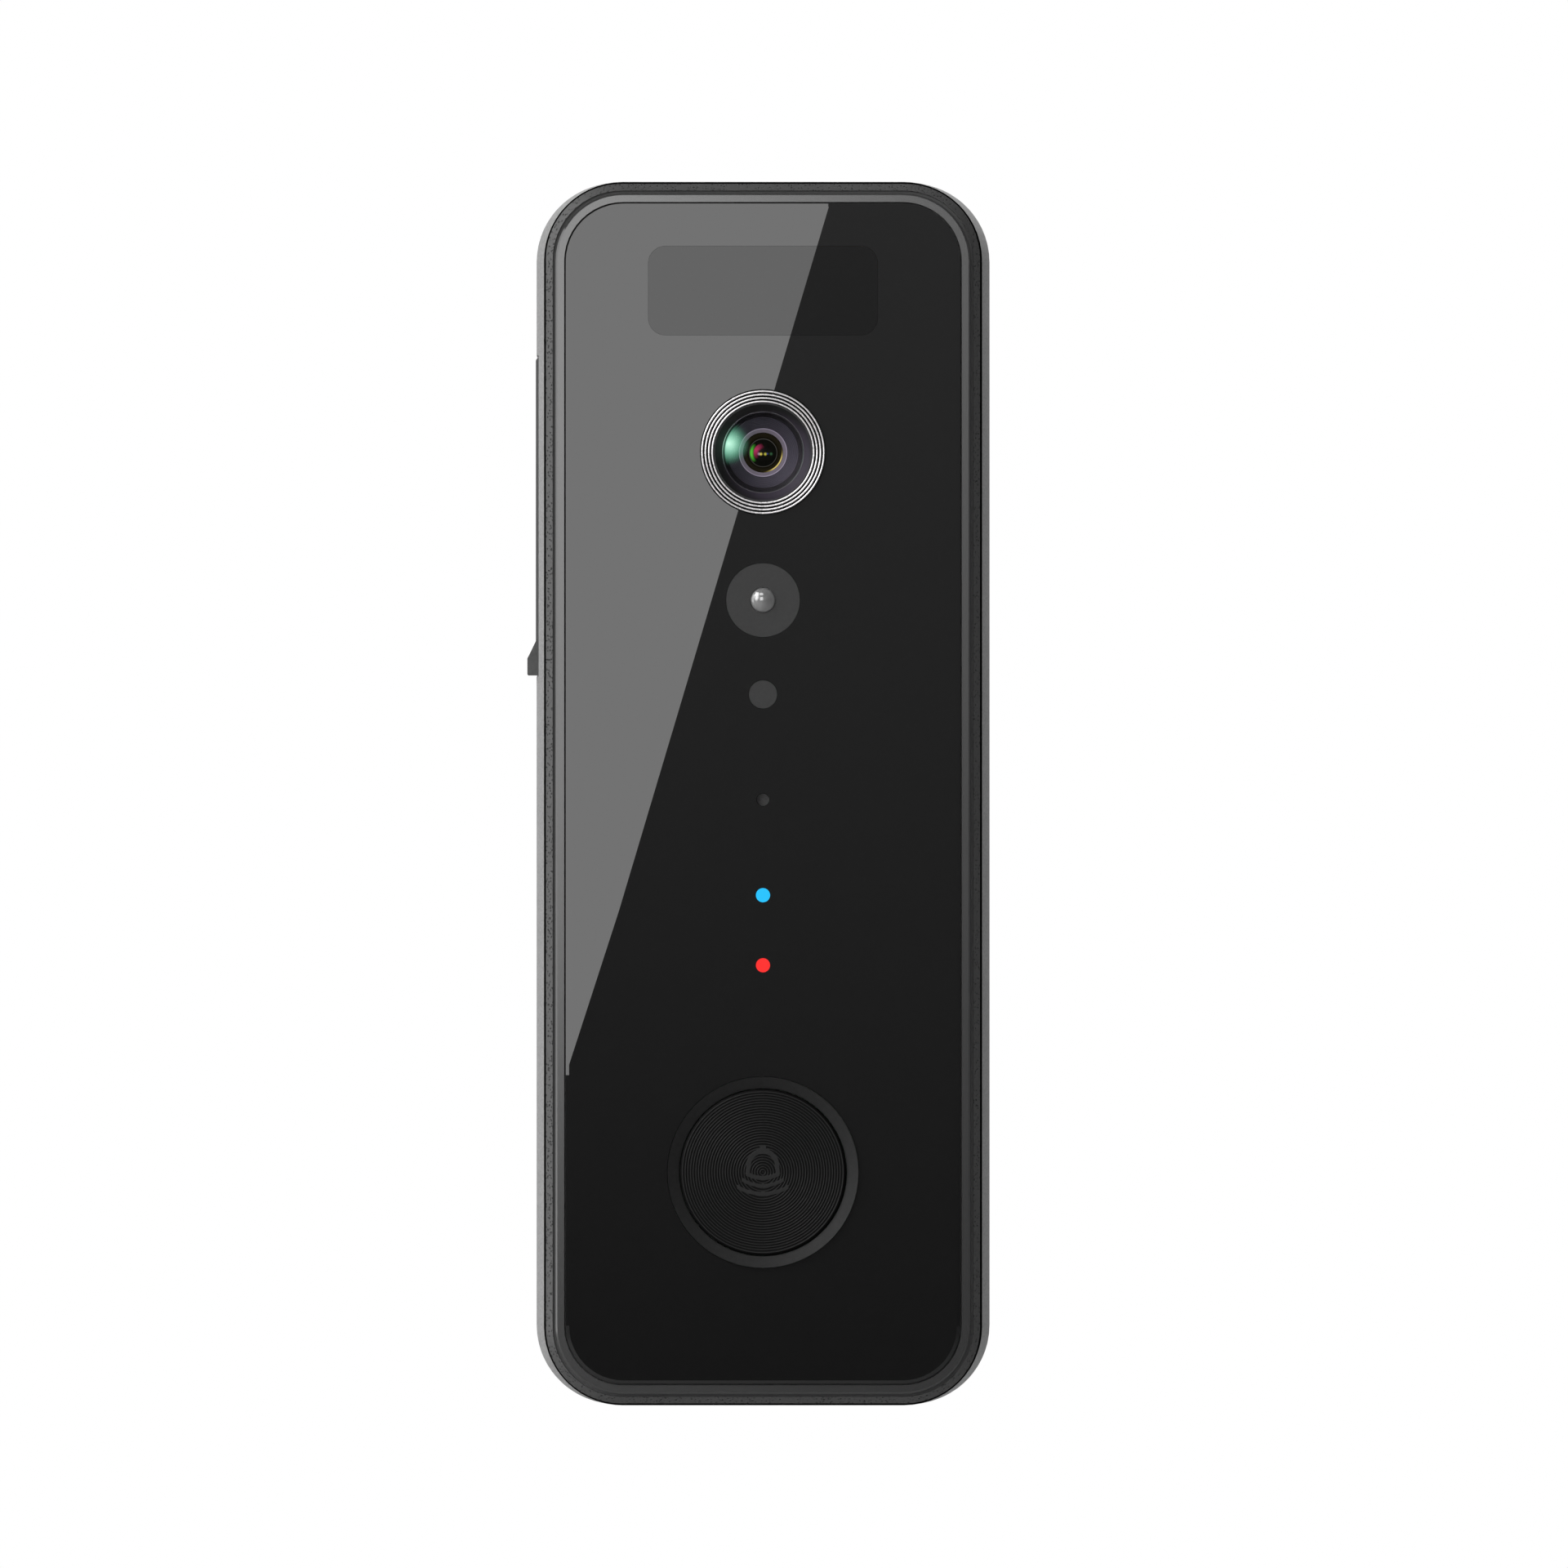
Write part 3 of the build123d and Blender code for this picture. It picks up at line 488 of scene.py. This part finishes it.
def groove_plastic(front):
    """Button plastic: pale on the groove tops, with painted shade making the groove bottoms black."""
    material, shader = new_material("groove_plastic")
    # Painted shade: the groove bottoms, deeper than the tops, are near-black.
    top = remap(material, object_axis(material, "Y"), front + 0.00001, front + 0.00004, 1, 0)
    link(material, blend(material, top, grey(0.0015), grey(0.023)), shader.inputs["Base Color"])
    grain = noise(material, 0.0004)
    link(material, remap(material, grain, 0.3, 0.7, 0.55, 0.65), shader.inputs["Roughness"])
    shader.inputs["Specular IOR Level"].default_value = 0.12
    return material


def board_mask():
    """Green solder mask with a pattern of copper tracks just showing through."""
    material, shader = new_material("board_mask")
    tracks = add(material, "ShaderNodeTexBrick", Scale=1 / 0.004, Mortar_Size=0.04)
    link(material, coordinates(material), tracks.inputs["Vector"])
    link(
        material,
        blend(material, tracks.outputs["Fac"], (0.008, 0.075, 0.03), (0.03, 0.16, 0.06)),
        shader.inputs["Base Color"],
    )
    link(material, remap(material, noise(material, 0.002), 0.3, 0.7, 0.28, 0.42), shader.inputs["Roughness"])
    bump(material, shader, tracks.outputs["Fac"], 0.00003)
    return material


def material_table():
    """Material for each record slot."""
    camera_axis = middle("lens_trim_ring")
    return {
        "silver_plastic": silver_paint(),
        "black_plastic": surface("black_plastic", grey(0.018), grey(0.03), 0.5, 0.0004, relief=0.00004),
        "grained_black": grained_black(),
        "satin_black": surface(
            "satin_black", grey(0.019), grey(0.024), 0.13, 0.0005, specular=0.7, spread=0.02
        ),
        "dark_glass": dark_gloss("dark_glass", grey(0.006), 1.5),
        "ir_plastic": dark_gloss("ir_plastic", grey(0.006), 1.42, 0.002),
        "chrome": surface("chrome", grey(0.86), grey(0.92), 0.15, 0.0005, metal=1.0),
        "hood_black": hood_black(camera_axis),
        "coated_glass": lens_glass("coated_glass", (0.95, 0.93, 0.97)),
        "lens_black": barrel_black(camera_axis),
        "pale_metal": retainer_metal(camera_axis),
        "grey_window": surface("grey_window", grey(0.030), grey(0.035), 0.55, 0.0004, specular=0.3),
        "clear_plastic": smoky_dome(),
        "steel": surface("steel", grey(0.50), grey(0.62), 0.3, 0.0006, metal=1.0, relief=0.00001),
        "blue_light": lit_pipe("blue_light", (0.010, 0.50, 0.98), 1.0),
        "red_light": lit_pipe("red_light", (0.98, 0.020, 0.018), 1.0),
        "white_ceramic": surface("white_ceramic", grey(0.68), grey(0.78), 0.5),
        "chip_black": surface("chip_black", grey(0.018), grey(0.03), 0.55, 0.0004, relief=0.00001),
        "silicone": surface("silicone", grey(0.05), grey(0.07), 0.65, 0.0006, relief=0.00002),
        "black_rubber": surface("black_rubber", grey(0.010), grey(0.016), 0.7, 0.0005, relief=0.00003),
        "grey_rubber": surface("grey_rubber", grey(0.050), grey(0.070), 0.62, 0.0004, relief=0.00003),
        "board_green": board_mask(),
        "brass": surface("brass", (0.55, 0.38, 0.14), (0.68, 0.49, 0.2), 0.3, 0.0004, metal=1.0),
        "cell_wrap": surface("cell_wrap", (0.02, 0.10, 0.26), (0.03, 0.13, 0.32), 0.25, 0.002),
        "cable_orange": surface("cable_orange", (0.42, 0.17, 0.02), (0.55, 0.25, 0.04), 0.35, 0.001),
        "wire_red": surface("wire_red", (0.35, 0.012, 0.01), (0.45, 0.02, 0.015), 0.4, 0.001),
        "cone_grey": surface("cone_grey", grey(0.04), grey(0.07), 0.8, 0.0003, relief=0.00008),
    }


def paint_nodes(table):
    for name, node in NODES.items():
        node.data.materials.clear()
        node.data.materials.append(table[NODE_SLOT[name]])
        for polygon in node.data.polygons:
            polygon.material_index = 0
    camera_axis = middle("lens_trim_ring")
    NODES["rear_lens_element"].data.materials[0] = pupil_glass(camera_axis)
    NODES["inner_lens_element"].data.materials[0] = inner_glass(camera_axis)
    NODES["bezel_ring"].data.materials[0] = bezel_black(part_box("bezel_ring")[0].y)
    # Painted shade: the housing seal is black rubber, darkened further to stand for the shadow in the seam
    # gap.
    seal_and_gap_shade = surface("seal_rubber_gap_shade", grey(0.001), grey(0.003), 0.8, 0.0005, specular=0.05)
    NODES["housing_seal"].data.materials[0] = seal_and_gap_shade
    ring = surface("button_ring_plastic", grey(0.018), grey(0.022), 0.6, 0.0005, specular=0.15)
    NODES["button_ring"].data.materials[0] = ring
    NODES["microphone"].data.materials[0] = surface("microphone_mesh", grey(0.40), grey(0.55), 0.5, 0.0003)


# --- Turned pieces ----------------------------------------------------------------------------

def turned_piece(name, node, profile, around, material):
    """Smooth piece turned about the node's forward axis, from (radius, depth) points in millimetres.

    Depth is measured from the wall, as in the CAD; the profile starts on the axis or closes on itself.
    """
    axis = middle(node)
    vertices = []
    faces = []
    rings = []
    for radius, depth in profile:
        if radius == 0:
            rings.append([len(vertices)] * around)
            vertices.append((axis.x, -depth * MM, axis.z))
            continue
        rings.append(list(range(len(vertices), len(vertices) + around)))
        for index in range(around):
            angle = 2 * math.pi * index / around
            x = axis.x + radius * MM * math.cos(angle)
            vertices.append((x, -depth * MM, axis.z + radius * MM * math.sin(angle)))
    if profile[0][0] > 0:
        rings.append(rings[0])
    for first, second in zip(rings, rings[1:]):
        for index in range(around):
            after = (index + 1) % around
            corners = [first[index], second[index], second[after], first[after]]
            faces.append(tuple(dict.fromkeys(corners)))
    mesh = bpy.data.meshes.new(name)
    mesh.from_pydata(vertices, [], faces)
    mesh.validate()
    for polygon in mesh.polygons:
        polygon.use_smooth = True
    mesh.set_sharp_from_angle(angle=math.radians(35))
    mesh.materials.append(material)
    piece = bpy.data.objects.new(name, mesh)
    bpy.context.scene.collection.objects.link(piece)
    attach(piece, NODE_BODY[node])
    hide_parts(node)


def lens_profile(radius, rear, front, front_sag, rear_sag, steps=24):
    """Section of a round lens, from the middle of its front to the middle of its rear."""

    def surface_depth(r, edge, rise):
        sphere = (radius**2 + rise**2) / (2 * rise)
        return edge + rise - sphere + math.sqrt(sphere**2 - r**2)

    spread = [radius * step / steps for step in range(steps + 1)]
    face = [(r, surface_depth(r, front, front_sag)) for r in spread]
    back = [(r, surface_depth(r, rear, rear_sag)) for r in reversed(spread)]
    return face + back


def ridged_profile(outer, inner, rear, base, ridges, height, steps=10):
    """Section of the camera's trim ring: half-round ridges on a flat face, from outside to inside."""
    points = [(outer, rear), (outer, base)]
    for ridge in ridges:
        for step in range(steps + 1):
            angle = math.pi * step / steps
            points.append((ridge + height * math.cos(angle), base + height * math.sin(angle)))
    return points + [(inner, base), (inner, rear)]


def camera_front():
    """Front lens, trim ring and motion sensor lens, with finer meshes than the CAD's."""
    axis = middle("lens_trim_ring")
    glass = lens_glass("front_glass", (0.95, 0.93, 0.97), axis)
    lens = lens_profile(FRONT_LENS, 25.5, 26.3, 1.2, 0.9)
    turned_piece("front_lens", "front_lens_element", lens, 180, glass)
    low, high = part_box("lens_trim_ring")
    base = -low.y / MM - RIDGE_HEIGHT
    outer = (high.x - low.x) / 2 / MM
    ring = ridged_profile(outer, TRIM_INNER, -high.y / MM, base, TRIM_RIDGES, RIDGE_HEIGHT)
    turned_piece("camera_trim_ring", "lens_trim_ring", ring, 240, ridged_chrome(low.y))
    small_lens = lens_profile(MOTION_LENS, 26.8, 27.9, 0.75, 0.45, 16)
    turned_piece("motion_sensor_lens", "motion_lens", small_lens, 120, smoky_dome())


# --- Button cap -------------------------------------------------------------------------------

def smile(x, z, lowest, half_width, rise, thickness):
    """True inside a smile-shaped bar: its middle line is lowest at x = 0 and rises to its ends."""
    radius = (half_width**2 + rise**2) / (2 * rise)
    distance = math.hypot(x, z - lowest - radius)
    return abs(x) < half_width and z < lowest + radius and abs(distance - radius) < thickness / 2


def dome(x, z, half_width, shoulder):
    """True inside a dome: a half circle above the shoulder height and straight sides below it."""
    if z > shoulder:
        return math.hypot(x, z - shoulder) < half_width
    return abs(x) < half_width + 0.12 * (shoulder - z)


def bell_mask(x, z):
    """1 inside a generic bell pictogram, in millimetres from the middle of the cap, else 0."""
    shell = dome(x, z, 1.88, 0.82) and not dome(x, z, 1.36, 0.72) and z > -0.25
    knob = abs(x) < 0.36 and 2.5 < z < 3.0
    lip = smile(x, z, -0.65, 1.95, 0.55, 0.5)
    brim = smile(x, z, -1.53, 2.42, 0.72, 0.42)
    clapper = smile(x, z, -2.46, 2.94, 0.79, 0.45)
    return 1.0 if shell or knob or lip or brim or clapper else 0.0


def grooved_cap():
    """Round button cap with fine turned grooves that stop at the raised bell pictogram."""
    low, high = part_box("button_cap")
    centre = (low + high) / 2
    outer = (high.x - low.x) / 2 / MM
    rim_width = 0.33
    groove_depth = 0.10
    bell_reach = 4.2
    face_radius = outer - rim_width
    groove_count = 30
    pitch = face_radius / groove_count
    per_groove = 6
    around = 480
    vertices = []
    faces = []
    front = low.y / MM

    def point(radius, angle, depth):
        return (
            centre.x + radius * MM * math.cos(angle),
            (front + depth) * MM,
            centre.z + radius * MM * math.sin(angle),
        )

    rings = []
    vertices.append(point(0, 0, 0))
    for step in range(1, groove_count * per_groove + 1):
        radius = face_radius * step / (groove_count * per_groove)
        wave = 0.5 - 0.5 * math.cos(2 * math.pi * radius / pitch)
        depth = groove_depth * wave**0.9
        ring = []
        for index in range(around):
            angle = 2 * math.pi * index / around
            inside = 0.0
            if radius < bell_reach:
                inside = bell_mask(radius * math.cos(angle), radius * math.sin(angle))
            ring.append(len(vertices))
            vertices.append(point(radius, angle, depth * (1 - inside)))
        rings.append(ring)
    rear = (high.y - low.y) / MM
    skirt = [(face_radius + 0.06, 0.02), (outer - 0.08, 0.2), (outer, 0.3), (outer, 1.4)]
    skirt += [(outer - 0.9, 1.4), (outer - 0.9, 0.8), (1.2, 0.8), (1.2, rear)]
    for radius, depth in skirt:
        ring = []
        for index in range(around):
            ring.append(len(vertices))
            vertices.append(point(radius, 2 * math.pi * index / around, depth))
        rings.append(ring)
    first = rings[0]
    for index in range(around):
        faces.append((0, first[index], first[(index + 1) % around]))
    for inner, ring in zip(rings, rings[1:]):
        for index in range(around):
            after = (index + 1) % around
            faces.append((inner[index], ring[index], ring[after], inner[after]))
    faces.append(tuple(reversed(rings[-1])))
    mesh = bpy.data.meshes.new("grooved_button_cap")
    mesh.from_pydata(vertices, [], faces)
    mesh.validate()
    mesh.update()
    cap = bpy.data.objects.new("grooved_button_cap", mesh)
    bpy.context.scene.collection.objects.link(cap)
    for polygon in mesh.polygons:
        polygon.use_smooth = len(polygon.vertices) < 5
    mesh.materials.append(groove_plastic(low.y))
    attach(cap, "button")
    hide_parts("button_cap")


def soft_pad():
    """Foam ring behind the button, given a mesh of its own."""
    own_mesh(NODES["button_return_pad"])


# --- Floor, light and camera ------------------------------------------------------------------

def emissive(name, strength):
    """Plain white glow."""
    material = bpy.data.materials.new(name)
    material.use_nodes = True
    tree = material.node_tree
    tree.nodes.clear()
    glow = tree.nodes.new("ShaderNodeEmission")
    glow.inputs["Color"].default_value = (1, 1, 1, 1)
    glow.inputs["Strength"].default_value = strength
    output = tree.nodes.new("ShaderNodeOutputMaterial")
    tree.links.new(glow.outputs[0], output.inputs["Surface"])
    return material


def area_light(name, place, size, power):
    """Rectangular lamp that faces the object's origin."""
    data = bpy.data.lights.new(name, "AREA")
    data.shape = "RECTANGLE"
    data.size = size[0]
    data.size_y = size[1]
    data.energy = power
    light = bpy.data.objects.new(name, data)
    light.location = place
    light.rotation_euler = (-Vector(place)).to_track_quat("-Z", "Y").to_euler()
    bpy.context.scene.collection.objects.link(light)


def world_light(below, above):
    """Pale surroundings, white to the eye; their light on the object is weaker from below."""
    world = bpy.data.worlds.new("studio")
    world.use_nodes = True
    background = world.node_tree.nodes["Background"]
    split = add(world, "ShaderNodeSeparateXYZ")
    link(world, add(world, "ShaderNodeTexCoord").outputs["Generated"], split.inputs["Vector"])
    path = add(world, "ShaderNodeLightPath")
    mix = add(world, "ShaderNodeMix")
    mix.data_type = "FLOAT"
    mix.inputs[3].default_value = 1.0
    link(world, remap(world, split.outputs["Z"], -1, 1, below, above), mix.inputs[2])
    link(world, path.outputs["Is Camera Ray"], mix.inputs[0])
    link(world, mix.outputs[0], background.inputs["Strength"])
    background.inputs["Color"].default_value = (1, 1, 1, 1)
    bpy.context.scene.world = world


def card(name, corners, material):
    """Flat glowing card, seen only in the object's shiny surfaces."""
    mesh = bpy.data.meshes.new(name)
    mesh.from_pydata(corners, [], [tuple(range(len(corners)))])
    mesh.materials.append(material)
    piece = bpy.data.objects.new(name, mesh)
    piece.visible_camera = False
    piece.visible_diffuse = False
    piece.visible_shadow = False
    bpy.context.scene.collection.objects.link(piece)
    return piece


def graded_glow(name, low_z, high_z, low_strength, high_strength):
    """Glow that rises evenly from one height to another."""
    material = emissive(name, 1.0)
    glow = remap(material, object_axis(material, "Z"), low_z, high_z, low_strength, high_strength)
    link(material, glow, material.node_tree.nodes["Emission"].inputs["Strength"])
    return material


def soft_window(name, direction, width, height, strength):
    """Glowing card at this direction from the camera lens, brightest in the middle, dark at its rim."""
    material = emissive(name + "_glow", 1.0)
    place = add(material, "ShaderNodeTexCoord")
    mapping = add(material, "ShaderNodeMapping", Scale=(2 / width, 2 / height, 1))
    link(material, place.outputs["Object"], mapping.inputs["Vector"])
    length = add(material, "ShaderNodeVectorMath")
    length.operation = "LENGTH"
    link(material, mapping.outputs["Vector"], length.inputs[0])
    glow = remap(material, length.outputs["Value"], 0.25, 1.0, strength, 0.0)
    link(material, glow, material.node_tree.nodes["Emission"].inputs["Strength"])
    half_width, half_height = width / 2, height / 2
    corners = [
        (-half_width, -half_height, 0),
        (half_width, -half_height, 0),
        (half_width, half_height, 0),
        (-half_width, half_height, 0),
    ]
    piece = card(name, corners, material)
    piece.location = middle("lens_trim_ring") + Vector(direction)
    piece.rotation_euler = Vector(direction).to_track_quat("Z", "Y").to_euler()


def mirror_cards(camera, front):
    """What the glass mirrors: a bright soft box with a slanted right edge, and a dim wall behind it.

    A point of the flat glass mirrors the point of the card plane that lies further out from the
    camera's axis by the factor spread. The soft box's corners are given at the glass, in metres.
    """
    behind = 0.3
    card_depth = camera.location.y - behind
    distance = front - camera.location.y
    spread = 1 + (distance + behind) / distance
    top, bottom, left = 0.7, -0.0335, -0.7
    slant_top = (0.00885, 0.0715)
    slant_bend = (-0.01646, -0.0134)
    slant_below_bend = 0.324
    lean_above_top = 0.0012
    slant_bottom = (slant_bend[0] + slant_below_bend * (bottom - slant_bend[1]), bottom)

    def mirrored(x, z):
        return (
            camera.location.x + (x - camera.location.x) * spread,
            card_depth,
            camera.location.z + (z - camera.location.z) * spread,
        )

    upper_right = (slant_top[0] - lean_above_top, top)
    outline = [slant_bottom, slant_bend, slant_top, upper_right, (left, top), (left, bottom)]
    card("soft_box", [mirrored(x, z) for x, z in outline], emissive("soft_box_glow", SOFT_BOX))
    wall_half = 2.0
    wall_depth = card_depth - 0.02
    wall = [(-1, -1), (1, -1), (1, 1), (-1, 1)]
    dim = graded_glow("dim_wall_glow", mirrored(0, -0.067)[2], mirrored(0, 0.067)[2], *DIM_WALL)
    card("dim_wall", [(x * wall_half, wall_depth, z * wall_half) for x, z in wall], dim)


def pale_floor():
    """Pale matt floor that looks nearly white to the eye and lights the object only softly."""
    material = surface("pale_floor", grey(0.55), grey(0.57), 0.7, 0.004)
    shader = material.node_tree.nodes["Principled BSDF"]
    shader.inputs["Emission Color"].default_value = (1, 1, 1, 1)
    path = add(material, "ShaderNodeLightPath")
    glow = remap(material, path.outputs["Is Camera Ray"], 0, 1, 0, FLOOR_GLOW)
    link(material, glow, shader.inputs["Emission Strength"])
    return material


def stage_and_camera():
    scene = bpy.context.scene
    scene.view_settings.view_transform = "Standard"
    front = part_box("front_panel")[0].y

    camera_data = bpy.data.cameras.new("camera")
    camera_data.sensor_width = 36
    camera_data.lens = camera_data.sensor_width * CAMERA_DISTANCE / PICTURE_HEIGHT
    camera_data.clip_end = 20
    camera = bpy.data.objects.new("camera", camera_data)
    camera.location = (CAMERA_X, front - CAMERA_DISTANCE, CAMERA_Z)
    camera.rotation_euler = (math.pi / 2, 0, 0)
    scene.collection.objects.link(camera)
    scene.camera = camera

    floor_z = cad_box[0].z - FLOOR_DROP
    corners = [(x * FLOOR_HALF, y * FLOOR_HALF, floor_z) for x, y in ((-1, -1), (1, -1), (1, 1), (-1, 1))]
    floor_mesh = bpy.data.meshes.new("floor")
    floor_mesh.from_pydata(corners, [], [(0, 1, 2, 3)])
    floor_mesh.materials.append(pale_floor())
    floor = bpy.data.objects.new("floor", floor_mesh)
    scene.collection.objects.link(floor)

    area_light("key_light", (-0.85, -0.55, 0.75), (0.8, 0.8), 11.0)
    area_light("left_light", (-1.0, -0.10, 0.1), (0.5, 1.0), 3.0)
    area_light("fill_light", (1.0, -0.15, -0.1), (0.5, 1.0), 0.15)
    area_light("back_light", (0.2, 0.9, 0.6), (1.0, 1.0), 2.5)
    world_light(*WORLD)
    mirror_cards(camera, front)
    soft_window("left_window", (-0.89, -0.72, 0.35), 0.95, 1.3, 6.0)
    soft_window("right_window", (0.85, -0.70, -0.55), 0.8, 0.9, 2.0)
    soft_window("top_window", (-0.25, -0.80, 0.85), 0.9, 0.6, 5.0)
    soft_window("bottom_window", (-0.15, -0.80, -0.85), 0.9, 0.6, 0.8)


# --- Make ---------------------------------------------------------------------------------------

paint_nodes(material_table())
camera_front()
grooved_cap()
soft_pad()
stage_and_camera()
